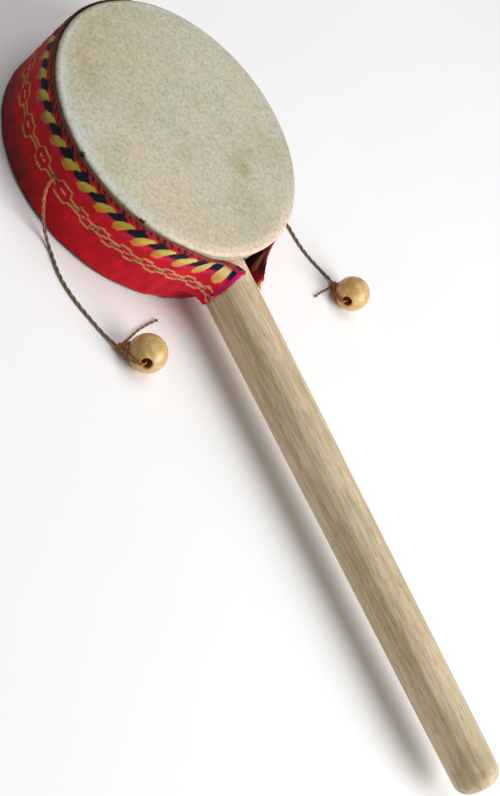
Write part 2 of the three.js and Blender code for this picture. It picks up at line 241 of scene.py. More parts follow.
def through(points, spacing):
    """A smooth line through the points, resampled at about even spacing."""
    route = np.asarray(points, float)
    padded = np.concatenate([[2 * route[0] - route[1]], route, [2 * route[-1] - route[-2]]])
    t = np.linspace(0, 1, 24, endpoint=False)[:, None]
    pieces = []
    for a, b, c, d in zip(padded, padded[1:], padded[2:], padded[3:]):
        pieces.append(b + 0.5 * t * (c - a + t * (2 * a - 5 * b + 4 * c - d
                                                  + t * (3 * (b - c) + d - a))))
    dense = np.concatenate(pieces + [route[-1:]])
    along = np.concatenate([[0], np.cumsum(np.linalg.norm(np.diff(dense, axis=0), axis=1))])
    even = np.linspace(0, along[-1], max(2, round(along[-1] / spacing) + 1))
    return np.stack([np.interp(even, along, dense[:, k]) for k in range(3)], 1), even


def carried_frames(line):
    """At each point of a line, two directions across it that turn as little as they can."""
    ahead = np.gradient(line, axis=0)
    ahead /= np.linalg.norm(ahead, axis=1)[:, None]
    across = [unit(np.cross(ahead[0], (0.3, 0.2, 1.0)))]
    for direction in ahead[1:]:
        across.append(unit(across[-1] - direction * (across[-1] @ direction)))
    across = np.array(across)
    return across, np.cross(ahead, across)


def swept(line, radii, angles):
    """Rings round a line: radii and angles are (count, sides)."""
    across, beyond = carried_frames(line)
    out = across[:, None] * np.cos(angles)[..., None] + beyond[:, None] * np.sin(angles)[..., None]
    return line[:, None] + radii[..., None] * out


def join_parts(parts):
    """One list of points and one of faces from several (points, faces)."""
    points, faces, first = [], [], 0
    for part_points, part_faces in parts:
        points.append(part_points)
        faces += [[first + corner for corner in face] for face in part_faces]
        first += len(part_points)
    return np.concatenate(points), faces


# ---- Materials


class Paint:
    """One material's node tree, with a short call for each kind of node used here."""

    def __init__(self, name, **plain):
        self.material = bpy.data.materials.new(name)
        self.material.use_nodes = True
        self.tree = self.material.node_tree
        self.shader = self.tree.nodes["Principled BSDF"]
        for socket, value in plain.items():
            self.shader.inputs[socket.replace("_", " ")].default_value = value

    def put(self, socket, value):
        if isinstance(value, bpy.types.NodeSocket):
            self.tree.links.new(value, socket)
        elif hasattr(value, "__len__") and socket.type == "RGBA":
            socket.default_value = (*value[:3], 1.0)
        else:
            socket.default_value = value

    def node(self, kind, output, inputs, **settings):
        made = self.tree.nodes.new("ShaderNode" + kind)
        for setting, value in settings.items():
            setattr(made, setting, value)
        for socket, value in inputs.items():
            self.put(made.inputs[socket], value)
        return made.outputs[output]

    def place(self, scale=(1, 1, 1)):
        """Position on the drum in metres, stretched by a scale."""
        here = self.node("TexCoord", "Object", {})
        return self.node("Mapping", "Vector", {"Vector": here, "Scale": scale})

    def noise(self, vector, scale, detail=2.0, roughness=0.5):
        inputs = {"Vector": vector, "Scale": scale, "Detail": detail, "Roughness": roughness}
        return self.node("TexNoise", "Fac", inputs)

    def ramp(self, factor, *stops):
        """Colour codes or greys along a factor, as (position, colour)."""
        made = self.tree.nodes.new("ShaderNodeValToRGB")
        self.put(made.inputs["Fac"], factor)
        elements = made.color_ramp.elements
        while len(elements) < len(stops):
            elements.new(0.5)
        for element, (position, colour) in zip(elements, stops):
            element.position = position
            shares = rgb(colour) if isinstance(colour, str) else (colour, colour, colour)
            element.color = (*shares, 1)
        return made.outputs["Color"]

    def mix(self, factor, first, second, blend="MIX"):
        inputs = {"Factor": factor, 6: first, 7: second}
        return self.node("Mix", 2, inputs, data_type="RGBA", blend_type=blend)

    def attribute(self, name, output="Fac"):
        return self.node("Attribute", output, {}, attribute_name=name)

    def where(self, factor, low, high, colour, code):
        """A colour with another mixed in along a factor: low and high are (position, share)."""
        return self.mix(self.ramp(factor, low, high), colour, rgb(code))

    def marked(self, name, colour, code):
        """A colour with another mixed in where the mesh is marked for it."""
        return self.mix(self.attribute(name), colour, rgb(code))

    def bump(self, height, strength, depth_mm):
        inputs = {"Height": height, "Strength": strength, "Distance": depth_mm * MM}
        earlier = self.shader.inputs["Normal"].links
        if earlier:
            inputs["Normal"] = earlier[0].from_socket
        self.put(self.shader.inputs["Normal"], self.node("Bump", "Normal", inputs))

    def finish(self, colour, roughness=None):
        self.put(self.shader.inputs["Base Color"], colour)
        if roughness is not None:
            self.put(self.shader.inputs["Roughness"], roughness)
        return self.material


def hide_paint(name):
    """Thin rawhide: grey-cream, softly mottled, yellower and stained in places, its rim paler, with a
    painted highlight on the rim by the handle and painted shade on the rolled edge and skirt.
    """
    paint = Paint(name, Roughness=0.5, Specular_IOR_Level=0.3)
    here = paint.place()
    clouds = paint.noise(here, 30.0, 3.0, 0.55)
    colour = paint.ramp(clouds, (0.32, "c2bda6"), (0.50, "c9c5b2"), (0.68, "cbc1a6"))
    # More yellow-olive on the left side towards the back.
    colour = paint.marked("yellowed", colour, "aea273")
    colour = paint.marked("blushed", colour, "d8c4a6")
    patches = paint.noise(paint.place((1.0, 1.4, 1.0)), 60.0, 4.0, 0.6)
    colour = paint.where(patches, (0.52, 0.0), (0.74, 0.45), colour, "b3a988")
    tinge = paint.noise(here, 170.0, 3.0, 0.6)
    colour = paint.where(tinge, (0.52, 0.0), (0.70, 0.35), colour, "ccb8a4")
    colour = paint.where(tinge, (0.30, 0.35), (0.48, 0.0), colour, "b4bca4")
    # The pale warm rim mark is a painted highlight, where the rim by the handle catches the light.
    marks = [("tan", "a3966a"), ("rim", "cfd2cc"), ("warm_rim", "efd9bf"), ("roll", "8f8759")]
    # The olive roll mark is painted shade on the rolled edge and the skirt.
    for mark, code in marks:
        colour = paint.marked(mark, colour, code)
    speckle = paint.noise(here, 720.0, 3.0, 0.6)
    colour = paint.mix(1.0, colour, paint.ramp(speckle, (0.32, 0.72), (0.56, 0.98)), "MULTIPLY")
    pale_flecks = paint.noise(here, 640.0, 2.0, 0.6)
    colour = paint.where(pale_flecks, (0.54, 0.0), (0.72, 0.3), colour, "e2ded0")
    blotches = paint.noise(here, 300.0, 4.0, 0.65)
    colour = paint.where(blotches, (0.52, 0.0), (0.68, 0.3), colour, "98977f")
    pores = paint.node("TexVoronoi", "Distance", {"Vector": here, "Scale": 1300.0})
    paint.bump(pores, 0.2, 0.06)
    paint.bump(speckle, 0.25, 0.08)
    return paint.finish(colour, paint.ramp(clouds, (0.3, 0.46), (0.7, 0.62)))


def handle_paint():
    """Pale sanded wood, its grain running down the stick, with painted light on its root."""
    paint = Paint("pale_stick_wood", Roughness=0.55, Specular_IOR_Level=0.3)
    bands = paint.noise(paint.place((1.0, 0.06, 1.0)), 260.0, 4.0, 0.6)
    colour = paint.ramp(bands, (0.30, "b3a07a"), (0.48, "c9b594"), (0.66, "dac6aa"))
    clouds = paint.noise(paint.place((1.0, 0.35, 1.0)), 75.0, 3.0, 0.55)
    colour = paint.where(clouds, (0.50, 0.0), (0.70, 0.5), colour, "a59c72")
    colour = paint.where(clouds, (0.30, 0.4), (0.48, 0.0), colour, "dfc2a8")
    colour = paint.marked("olive_streak", colour, "8f8456")
    # Painted light on the top of the root by the drum, where the hide's rim shades it.
    colour = paint.marked("pale_root", colour, "f0d8c2")
    grain = paint.noise(paint.place((1.0, 0.07, 1.0)), 1500.0, 4.0, 0.6)
    colour = paint.where(grain, (0.34, 0.5), (0.52, 0.0), colour, "9c8659")
    colour = paint.where(grain, (0.52, 0.0), (0.70, 0.4), colour, "ead8be")
    flecks = paint.noise(paint.place((1.0, 0.13, 1.0)), 2300.0, 2.0, 0.5)
    colour = paint.where(flecks, (0.28, 0.55), (0.40, 0.0), colour, "86703f")
    colour = paint.marked("dusky", colour, "8d7c50")
    paint.bump(grain, 0.4, 0.1)
    paint.bump(flecks, 0.3, 0.06)
    return paint.finish(colour, paint.ramp(grain, (0.3, 0.62), (0.7, 0.48)))


def shell_paint():
    """Bare brown wood, turned round the drum's axis."""
    paint = Paint("bare_shell_wood", Roughness=0.75)
    grain = paint.noise(paint.place((1.0, 1.0, 9.0)), 130.0, 4.0, 0.6)
    colour = paint.ramp(grain, (0.3, "7a5326"), (0.7, "b08247"))
    paint.bump(grain, 0.4, 0.2)
    return paint.finish(colour)


def bead_paint():
    """Turned wood under clear varnish."""
    paint = Paint("varnished_bead_wood", Roughness=0.42, Coat_Weight=0.5, Coat_Roughness=0.2)
    rings = paint.noise(paint.place((1.0, 1.0, 3.0)), 260.0, 3.0, 0.55)
    colour = paint.ramp(rings, (0.30, "bf9550"), (0.50, "d2ad66"), (0.70, "e3c688"))
    fine = paint.noise(paint.place((1.0, 1.0, 8.0)), 1100.0, 3.0, 0.6)
    colour = paint.where(fine, (0.36, 0.3), (0.55, 0.0), colour, "9a6a30")
    # Darker amber on the twine's side: part twine stain, part painted shade.
    colour = paint.marked("amber", colour, "98601a")
    colour = paint.marked("hole", colour, "b8701e")
    paint.bump(fine, 0.12, 0.05)
    return paint.finish(colour)


def twine_paint():
    """Two-ply twine, dyed along its length, with painted shade in its groove."""
    paint = Paint("brown_twine", Roughness=0.75, Sheen_Weight=0.1)
    fibre = paint.noise(paint.place(), 2600.0, 3.0, 0.6)
    dye = paint.attribute("dye", "Color")
    colour = paint.mix(0.8, dye, paint.ramp(fibre, (0.3, 0.6), (0.6, 1.0)), "MULTIPLY")
    paint.bump(fibre, 0.5, 0.08)
    return paint.finish(colour)


def stitch_paint():
    """Dyed cotton, each stitch with the colour stored for it, which carries painted light and shade as
    well as the weave.
    """
    paint = Paint("woven_cotton", Roughness=0.85, Sheen_Weight=0.06, Sheen_Roughness=0.4,
                  Specular_IOR_Level=0.14)
    dye = paint.attribute("stitch", "Color")
    fibre = paint.noise(paint.place((1.0, 1.0, 0.35)), 3200.0, 3.0, 0.65)
    colour = paint.mix(0.5, dye, paint.ramp(fibre, (0.3, 0.62), (0.7, 1.0)), "MULTIPLY")
    wear = paint.noise(paint.place(), 170.0, 3.0, 0.6)
    colour = paint.mix(0.4, colour, paint.ramp(wear, (0.32, 0.62), (0.62, 1.0)), "MULTIPLY")
    paint.bump(fibre, 0.5, 0.1)
    return paint.finish(colour)


def floor_paint():
    paint = Paint("pale_floor", Roughness=0.9, Specular_IOR_Level=0.1)
    cloud = paint.noise(paint.place(), 9.0, 2.0)
    return paint.finish(paint.ramp(cloud, (0.3, 0.88), (0.7, 0.9)))


# ---- Camera, lights and floor

CAMERA_PLACE = Vector((-422.5, -57.0, 347.5)) * MM
CAMERA_AHEAD = Vector((0.770, 0.1116, -0.628))
CAMERA_TOP = Vector((0.208, 0.887, 0.413))
CAMERA_LENS = 72.36
FLOOR_HALF_SIDE = 3000.0


def make_camera():
    """Looks down on the drum from the left, turned so that the handle runs down to the right."""
    data = bpy.data.cameras.new("camera")
    data.lens = CAMERA_LENS
    camera = add_object("camera", data)
    ahead = CAMERA_AHEAD.normalized()
    right = ahead.cross(CAMERA_TOP).normalized()
    turned = Matrix((right, right.cross(ahead), -ahead)).transposed().to_4x4()
    camera.matrix_world = Matrix.Translation(CAMERA_PLACE) @ turned
    bpy.context.scene.camera = camera


def make_light(name, direction, distance, size, watts):
    """A square soft light that faces the drum from a direction."""
    data = bpy.data.lights.new(name, "AREA")
    data.size = size
    data.energy = watts
    light = add_object(name, data)
    away = Vector(direction).normalized()
    light.location = away * distance
    light.rotation_mode = "QUATERNION"
    light.rotation_quaternion = away.to_track_quat("Z", "Y")


def make_studio():
    make_light("key", direction=(0.25, -0.75, 0.6), distance=1.1, size=0.9, watts=14.0)
    make_light("top", direction=(0.15, 0.2, 1.0), distance=1.3, size=1.0, watts=6.5)
    world = bpy.data.worlds.new("studio")
    world.use_nodes = True
    background = world.node_tree.nodes["Background"]
    background.inputs["Color"].default_value = (1.0, 1.0, 1.0, 1.0)
    background.inputs["Strength"].default_value = 0.2
    bpy.context.scene.world = world
    bpy.context.scene.view_settings.view_transform = "Standard"

    far = FLOOR_HALF_SIDE
    corners = [(-far, -far, 0), (far, -far, 0), (far, far, 0), (-far, far, 0)]
    floor = make_piece("floor", corners, [(0, 1, 2, 3)], floor_paint())
    floor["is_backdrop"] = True


# ---- Twine: cords, knots and loops

PLY_PITCH = 5.4  # length of one full turn of the two plies
TWINE_SIDES = 18
TWINE_SPACING = 0.22
TWINE_SIENNA, TWINE_BROWN = rgb("c06c42"), rgb("7d6850")
TWINE_GROOVE, TWINE_AMBER = rgb("352418"), rgb("a8702c")


def twine_tube(points, thickness=1.0, taper_ends=False):
    """A two-ply twine along points: its rings, the distance along it and how deep its groove is."""
    line, along = through(points, TWINE_SPACING)
    around = np.linspace(0, TURN, TWINE_SIDES, endpoint=False)
    ply = around[None, :] - along[:, None] * TURN / PLY_PITCH
    bulge = np.abs(np.cos(ply))
    radii = thickness * TWINE * (0.42 + 0.58 * bulge)
    if taper_ends:
        near_end = smooth(0, 1.2, along) * smooth(0, 1.2, along[-1] - along)
        radii *= (0.55 + 0.45 * near_end)[:, None]
    rings = swept(line, radii, np.broadcast_to(around, radii.shape))
    rings[..., 2] = np.maximum(rings[..., 2], 0.03)
    return rings, along, 1 - smooth(0.0, 0.55, bulge)


def twine_dyes(plain, groove):
    """Colours of a tube's points: its plain colour ring by ring, with painted shade in the groove."""
    colours = plain[:, None] + groove[..., None] * (TWINE_GROOVE - plain[:, None])
    return np.concatenate([colours.reshape(-1, 3), plain[:1], plain[-1:]])


def make_cord(name, route, node):
    """The free stretch of a cord, from its hole in the drum's side to its knot."""
    rings, along, groove = twine_tube(route)
    points, faces = capped_tube(rings)
    cord = make_piece(name, points, faces, TWINE_PAINT)
    worn = smooth(11, 24, along)[:, None]
    mottle = 1 + 0.15 * waves(rings.mean(1), 2.5, 8.0)[:, None]
    plain = (TWINE_SIENNA + worn * (TWINE_BROWN - TWINE_SIENNA)) * mottle
    give_colours(cord, "dye", twine_dyes(plain, groove * (0.25 + 0.75 * worn)))
    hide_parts(node)
    line, _ = through(route, 1.0)
    Vector(route[1]) * MM


def hole_direction(end):
    turn, rise = end["hole_turn"], end["hole_rise"]
    flat = math.cos(rise)
    return np.array([flat * math.cos(turn), flat * math.sin(turn), math.sin(rise)])


def circle_axes(axis):
    """Two directions that span the circle round an axis."""
    across = unit(np.cross(axis, (0, 0, 1.0)))
    return across, np.cross(axis, across)


def turned_about(vector, axis, angle):
    """A vector turned about an axis through the origin."""
    return np.array(Matrix.Rotation(angle, 3, Vector(axis)) @ Vector(vector))


LOOP_RADIUS = BEAD_RADIUS + TWINE + 0.1
WRAP_START = 0.44  # radians from the hole's axis, where the twine first lies on the bead
COIL_REACH = (0.3, 2.7)  # from the knot
COIL_POINTS, COIL_TURNS = 49, 4
MOUTH = [(-2.2, 0.0), (0.3, 0.75), (0.75, 1.9)]  # out of the hole: beyond the bead, sideways


def loop_points(end, tilt):
    """The twine's way from the knot over the bead, through its hole and back, tilted sideways."""
    centre, knot = np.array(end["bead"]), np.array(end["knot"])
    axis = hole_direction(end)
    to_knot = knot - centre
    side = to_knot - axis * (to_knot @ axis)
    side = turned_about(unit(side), axis, tilt)
    knot_angle = math.acos(axis @ to_knot / np.linalg.norm(to_knot))
    touch = math.acos(LOOP_RADIUS / np.linalg.norm(to_knot))

    def half(way):
        last = (knot_angle if way > 0 else math.pi - knot_angle) - touch
        mouth = [centre + axis * way * (BEAD_RADIUS + beyond) + side * out for beyond, out in MOUTH]
        wrap = [
            centre + LOOP_RADIUS * (axis * way * math.cos(a) + side * math.sin(a))
            for a in np.linspace(WRAP_START, last, 4)
        ]
        return mouth + wrap

    route = np.array([knot, *half(1)[::-1], *half(-1), knot])
    route[:, 2] = np.maximum(route[:, 2], TWINE + 0.05)
    return route


def knot_points(end):
    """A small overhand knot: a trefoil, flattened a little."""
    t = np.linspace(0, TURN, 17)[:-1]
    curve = np.stack([np.sin(t) + 2 * np.sin(2 * t), np.cos(t) - 2 * np.cos(2 * t), -np.sin(3 * t)], 1)
    closed = np.concatenate([curve, curve[:1]])
    return np.array(end["knot"]) + closed * (0.42, 0.36, 0.62) + (0, 0, 0.1)


def coil_points(end):
    """Fine twine wound from the knot towards the bead, in turns that widen onto it."""
    knot = np.array(end["knot"])
    axis = unit(np.array(end["bead"]) - knot)
    across, beyond = circle_axes(axis)
    ahead = np.linspace(*COIL_REACH, COIL_POINTS)
    turned = np.linspace(0, COIL_TURNS * TURN, COIL_POINTS)
    radius = 0.5 + 0.62 * ahead
    circle = across * np.cos(turned)[:, None] + beyond * np.sin(turned)[:, None]
    points = knot + axis * ahead[:, None] + circle * radius[:, None]
    points[:, 2] = np.maximum(points[:, 2], 0.4)
    return points


def make_tie(name, end, route, node):
    """The knot at a cord's end, the loops through its bead, the free tail and its knob."""
    knob = np.array(end["tail"][-1]) + (0, 0, 0.2)
    ring = [knob + 0.38 * np.array([math.cos(a), math.sin(a), 0]) for a in np.linspace(0, 5.6, 6)]
    # Each strand's points, its thickness as a share of the twine's, and its colour.
    strands = [
        ([route[-2], route[-1], end["knot"]], 0.98, TWINE_BROWN),
        (loop_points(end, 0.07), 0.62, TWINE_AMBER),
        (coil_points(end), 0.55, TWINE_AMBER),
        (loop_points(end, -0.11), 0.55, TWINE_AMBER),
        (knot_points(end), 0.9, TWINE_AMBER),
        (end["tail"], 0.72, TWINE_BROWN),
        (ring, 0.75, TWINE_BROWN * 0.8),
    ]
    parts, dyes = [], []
    for points, thickness, colour in strands:
        rings, _, groove = twine_tube(points, thickness, taper_ends=True)
        parts.append(capped_tube(rings))
        dyes.append(twine_dyes(np.broadcast_to(colour, (len(rings), 3)), groove))
    points, faces = join_parts(parts)
    tie = make_piece(name, points, faces, TWINE_PAINT)
    give_colours(tie, "dye", np.concatenate(dyes))
    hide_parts(node)
    return tie


BEAD_SEGMENTS = 72
BEAD_ROUND_RINGS = 46
BEAD_HOLE_RINGS = 16
BEAD_UNEVEN = 0.03


def bead_profile():
    """The bead's round outside, then its hole, as (distance from the axis, place along it)."""
    mouth = BEAD_HOLE + 0.35
    first = math.asin(mouth / BEAD_RADIUS)
    outside = np.linspace(first, math.pi - first, BEAD_ROUND_RINGS)
    profile = [(BEAD_RADIUS * math.sin(a), BEAD_RADIUS * math.cos(a)) for a in outside]
    face = BEAD_RADIUS * math.cos(first)
    inside = np.linspace(-face + 0.35, face - 0.35, BEAD_HOLE_RINGS)
    return np.array(profile + [(BEAD_HOLE, height) for height in inside])


def make_bead(name, end, node):
    """A round bead with its hole, the mouths of the hole eased."""
    profile = bead_profile()
    around = np.linspace(0, TURN, BEAD_SEGMENTS, endpoint=False)
    axis = hole_direction(end)
    across, beyond = circle_axes(axis)
    out = across * np.cos(around)[:, None] + beyond * np.sin(around)[:, None]
    rings = np.array(end["bead"]) + profile[:, None, :1] * out + profile[:, None, 1:] * axis
    round_part = rings[:BEAD_ROUND_RINGS]
    hollow = BEAD_UNEVEN * (1 - waves(round_part, 3.0, 7.0))
    round_part -= hollow[..., None] * (round_part - end["bead"]) / BEAD_RADIUS
    faces = grid_faces(len(profile), BEAD_SEGMENTS, wrap_rows=True, wrap_columns=True)
    bead = make_piece(name, rings, [face[::-1] for face in faces], BEAD_PAINT)
    deep = np.concatenate([np.zeros(BEAD_ROUND_RINGS), np.ones(BEAD_HOLE_RINGS)])
    # Darker where the twine lies, which is the side turned from the key light: part twine stain, part
    # painted shade.
    to_knot = np.array(end["knot"]) - end["bead"]
    towards = (rings - end["bead"]) @ to_knot / np.linalg.norm(to_knot) / BEAD_RADIUS
    give_values(bead, hole=np.repeat(deep, BEAD_SEGMENTS), amber=0.85 * smooth(-0.1, 1.0, towards))
    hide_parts(node)
    return bead


def make_cord_set(side, route, end):
    bead = make_bead(f"{side}_wooden_bead", end, f"{side}_bead")
    tie = make_tie(f"{side}_knot_and_loops", end, route, f"{side}_tie")
    make_cord(f"{side}_twine", route, f"{side}_cord")


# ---- Heads

HEAD_SEGMENTS = 288
FACE_RINGS, RIM_RINGS, ROLL_RINGS, SKIRT_RINGS = 54, 8, 7, 13
FACE_EDGE = HEAD_RADIUS - HEAD_EDGE  # where the face starts to roll over
SKIRT_DEPTH = FACE_HEIGHT - SKIRT_END
RIM_WIDTH = 4.5  # the outer part of the face, where the hide bears on the shell's rounded edge
RIM_START = FACE_EDGE - RIM_WIDTH
RIM_DROP = 0.35
STAND_OUT = 0.75  # how far the hide's edge stands out over the ribbon on the right
# Darker stains: the place from the drum's centre, the size and the strength.
HIDE_STAINS = [
    ((19.0, -19.0), 5.0, 0.75), ((27.0, -14.0), 5.0, 0.35), ((12.0, -33.0), 9.0, 0.35),
    ((-34.0, 21.0), 10.0, 0.35), ((-42.0, -9.0), 7.0, 0.25), ((38.0, -12.0), 8.0, 0.25),
]


def head_profile():
    """Radii of the face's rings, and the whole profile as (radius, depth under the face)."""
    face_radii = np.concatenate([np.linspace(0.8, RIM_START, FACE_RINGS),
                                 np.linspace(RIM_START, FACE_EDGE, RIM_RINGS + 1)[1:]])
    roll = np.linspace(0, math.pi / 2, ROLL_RINGS + 1)[1:]
    down = np.linspace(HEAD_EDGE, SKIRT_DEPTH, SKIRT_RINGS + 1)[1:]
    outer = [(r, 0.0) for r in face_radii]
    outer += [(FACE_EDGE + HEAD_EDGE * math.sin(a), HEAD_EDGE * (1 - math.cos(a))) for a in roll]
    outer += [(HEAD_RADIUS, depth) for depth in down]
    inner = [(HEAD_RADIUS - HIDE, depth) for depth in down[::-1]]
    inner += [(HEAD_RADIUS - HIDE, HEAD_EDGE), (FACE_EDGE - 0.6, HIDE), (FACE_EDGE / 2, HIDE),
              (1.0, HIDE)]
    return face_radii, np.array(outer + inner)


def notch_skirt(rings, handle_depth):
    """Cuts the skirt short round the handle."""
    notch = HANDLE_RADIUS + SKIRT_CLEARANCE
    reach = np.sqrt(np.clip(notch**2 - rings[..., 0] ** 2, 0, None))
    limit = np.where((rings[..., 1] < 0) & (reach > 0), handle_depth - reach, SKIRT_DEPTH)
    on_skirt = rings[..., 2] > HEAD_EDGE
    share = (rings[..., 2] - HEAD_EDGE) / (SKIRT_DEPTH - HEAD_EDGE)
    limit = np.minimum(limit, SKIRT_DEPTH)
    shortened = HEAD_EDGE + share * (limit - HEAD_EDGE)
    rings[..., 2] = np.where(on_skirt, shortened, rings[..., 2])


def shape_hide(rings, profile, face_radii, out):
    """The face's slight unevenness and its drop towards the rim, and the edge's lumps."""
    faces_out = len(face_radii)
    face = rings[:faces_out]
    radius = np.repeat(face_radii[:, None], HEAD_SEGMENTS, 1)
    drop = RIM_DROP * smooth(RIM_START, FACE_EDGE + 1.0, radius)
    uneven = 0.10 * waves(face, 19.0, 3.0) + 0.035 * waves(face, 4.0, 9.0)
    face[..., 2] += drop + np.clip(0.11 - uneven, 0, None) * (radius < FACE_EDGE)
    rolled = slice(faces_out, faces_out + ROLL_RINGS)
    rings[rolled, :, 2] += RIM_DROP * (1 - smooth(0, HEAD_EDGE, profile[rolled, 1]))[:, None]
    lumps = 0.12 * waves(rings[rolled] + (0, 0, 40), 3.2, 5.0)
    rings[rolled, :, 2] += lumps * 0.5
    rings[rolled, :, :2] *= 1 + lumps[..., None] / HEAD_RADIUS / 2
    # Towards the right the hide's edge stands out over the ribbon.
    stands_out = STAND_OUT * smooth(-0.45, 0.1, out[:, 0] - 0.35 * out[:, 1])
    near_edge = smooth(FACE_EDGE - 3, FACE_EDGE + 1, radius)
    face[..., :2] *= 1 + (near_edge * stands_out / HEAD_RADIUS)[..., None]
    under = 1 - smooth(1.3, 2.2, profile[faces_out:, 1])[:, None]
    rings[faces_out:, :, :2] *= 1 + (under * stands_out / HEAD_RADIUS)[..., None]


def mark_hide(piece, points, is_front):
    """Where the hide is paler, warmer, yellower or stained, and where a highlight and shade are
    painted on its edge, for its material.
    """
    flat = points[:, :2] - (0, DRUM_Y)
    from_middle = np.hypot(flat[:, 0] / ACROSS, flat[:, 1] / ALONG)
    rim = smooth(RIM_START, FACE_EDGE - 0.8, from_middle)
    leftward = smooth(0.3, 0.9, -flat[:, 0] / HEAD_RADIUS)
    towards_handle = smooth(0.45, 0.95, -flat[:, 1] / HEAD_RADIUS)
    outermost = smooth(FACE_EDGE - 2.2, FACE_EDGE, from_middle)
    depth = FACE_HEIGHT - points[:, 2] if is_front else points[:, 2]
    tan = np.zeros(len(points))
    for centre, size, strength in HIDE_STAINS:
        tan = np.maximum(tan, strength * hill(flat, centre, size).prod(-1))
    give_values(
        piece,
        rim=0.65 * rim * leftward,
        # Painted highlight along the outermost rim towards the handle.
        warm_rim=0.85 * outermost * towards_handle,
        # Painted shade on the rolled edge and the skirt, less of it towards the handle.
        roll=0.85 * smooth(0.3, 1.3, depth) * (1 - 0.75 * towards_handle),
        # Darker and yellower on the left side towards the back.
        yellowed=0.55 * hill(flat, (-22, 42), (26, 24)).prod(-1) * (1 - 0.5 * rim),
        blushed=0.6 * hill(flat, (-26, -26), (17, 15)).prod(-1),
        tan=np.clip(tan * (1 + 0.5 * waves(points, 5.0, 2.0)), 0, 1),
    )


def make_head(name, node, is_front):
    """A hide head: the flat face, the edge rolled over, and the skirt down the shell's side."""
    around = np.linspace(0, TURN, HEAD_SEGMENTS, endpoint=False)
    out = np.stack([ACROSS * np.cos(around), ALONG * np.sin(around)], 1)
    face_radii, profile = head_profile()
    # Heights are depths under the face until the head is set in its place.
    rings = np.empty((len(profile), HEAD_SEGMENTS, 3))
    rings[..., :2] = profile[:, None, :1] * out
    rings[..., 2] = profile[:, 1:]
    notch_skirt(rings, FACE_HEIGHT - HANDLE_HEIGHT if is_front else HANDLE_HEIGHT)
    shape_hide(rings, profile, face_radii, out)
    rings[..., 1] += DRUM_Y
    if is_front:
        rings[..., 2] = FACE_HEIGHT - rings[..., 2]
    points, faces = capped_tube(rings)
    points[len(points) - 2, 2] = rings[0, :, 2].mean()
    if not is_front:
        faces = [face[::-1] for face in faces]
    piece = make_piece(name, points, faces, hide_paint(name + "_hide"))
    mark_hide(piece, points, is_front)
    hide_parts(node)


# ---- Ribbon

LEAVE_ANGLE = math.radians(23.5)  # where it leaves the drum's side, from the handle
FLARE = 7.5  # how far its cut end stands out along the handle
FLARE_HALF_HEIGHT = 10.0
FLARE_AT_FRONT = 3.0
HUG_RADIUS = HANDLE_RADIUS + 0.6
HUG_SOFTNESS = 4.0
LEAST_HALF_WIDTH = 0.5
TRIM_START = 26.2  # height where the cut corner starts to slant back
TRIM = 5.0
RIGHT_LEAN = 0.7  # how far the right end's front corner leans in over the handle
END_COLUMNS = 64
SIDE_COLUMNS = 720
RIBBON_ROWS = 74
INSIDE_ROWS = 37
RIBBON_RADIUS = HEAD_RADIUS + 0.3 + 0.425
RIBBON_ACROSS, RIBBON_ALONG = RIBBON_RADIUS * ACROSS, RIBBON_RADIUS * ALONG
RIBBON_SKIN = 0.3

RIB = 1.05  # pitch of the ribs across the ribbon
SQUARE_PITCH = 8.5
SQUARE_PHASE = -81.1  # distance along the ribbon, from the drum's back, to the middle of a square
CHAIN_DEPTH = 14.1
CHAIN_START = 28.3  # from a cut end to the middle of a link
CHAIN_CHANGE = 60.0  # from a cut end to where its links grow longer
NEAR_LINK, FAR_LINK = 9.0, 12.5  # their lengths
STITCH_LONG, STITCH_DEEP = 0.42, 0.4

# Colours, as (distance from the nearest cut end, colour). They grow darker away from the cut ends:
# partly the dyes, partly painted light near the ends, which face the key light, and painted shade
# further round the drum.
CRIMSON = [(8, "e4183a"), (22, "da162e"), (42, "d41424"), (62, "cc1420"), (80, "b41420"),
           (100, "ba1622")]
MAROON = [(8, "b05450"), (40, "963a3c"), (70, "7c2e32"), (110, "623428")]
NAVY = [(8, "0c2440"), (30, "08283c"), (45, "041c26")]
LIME = [(8, "f0dc90"), (36, "e6d05c"), (50, "c0b444"), (70, "b8b440"), (95, "a8a446")]
FRINGE = [(8, "f0b060"), (45, "e88c34"), (70, "c07a34"), (95, "a0603a")]
GOLD = [(12, "eab07c"), (40, "dc9a62"), (62, "cc9456"), (95, "b8863f")]
MAGENTA = [(10, "ec2c70"), (45, "e42458"), (70, "c81c3c")]
DARK, OLIVE, PINK, SOIL = rgb("2a1012"), rgb("8a5a26"), rgb("d09488"), rgb("5a2a22")


def left_edge(height):
    """How far the left cut edge is from the handle's upright middle plane."""
    square = HUG_RADIUS**2 - (height - HANDLE_HEIGHT) ** 2
    width = math.sqrt((square + math.hypot(square, HUG_SOFTNESS)) / 2 + LEAST_HALF_WIDTH**2)
    return width + TRIM * smooth(TRIM_START, RIBBON_FRONT, height)


def right_edge(height):
    """The same for the right one, which stands beside the handle's upper half."""
    if height < HANDLE_HEIGHT:
        return left_edge(height)
    return HUG_RADIUS - RIGHT_LEAN * smooth(HANDLE_HEIGHT, RIBBON_FRONT, height)


def flare_at(height):
    least = FLARE_AT_FRONT * smooth(HANDLE_HEIGHT, RIBBON_FRONT, height)
    bell = 1 / (1 + ((height - HANDLE_HEIGHT) / FLARE_HALF_HEIGHT) ** 6)
    return least + (FLARE - least) * bell


def side_points(angles):
    return np.stack([-RIBBON_ACROSS * np.sin(angles), -RIBBON_ALONG * np.cos(angles)], -1)


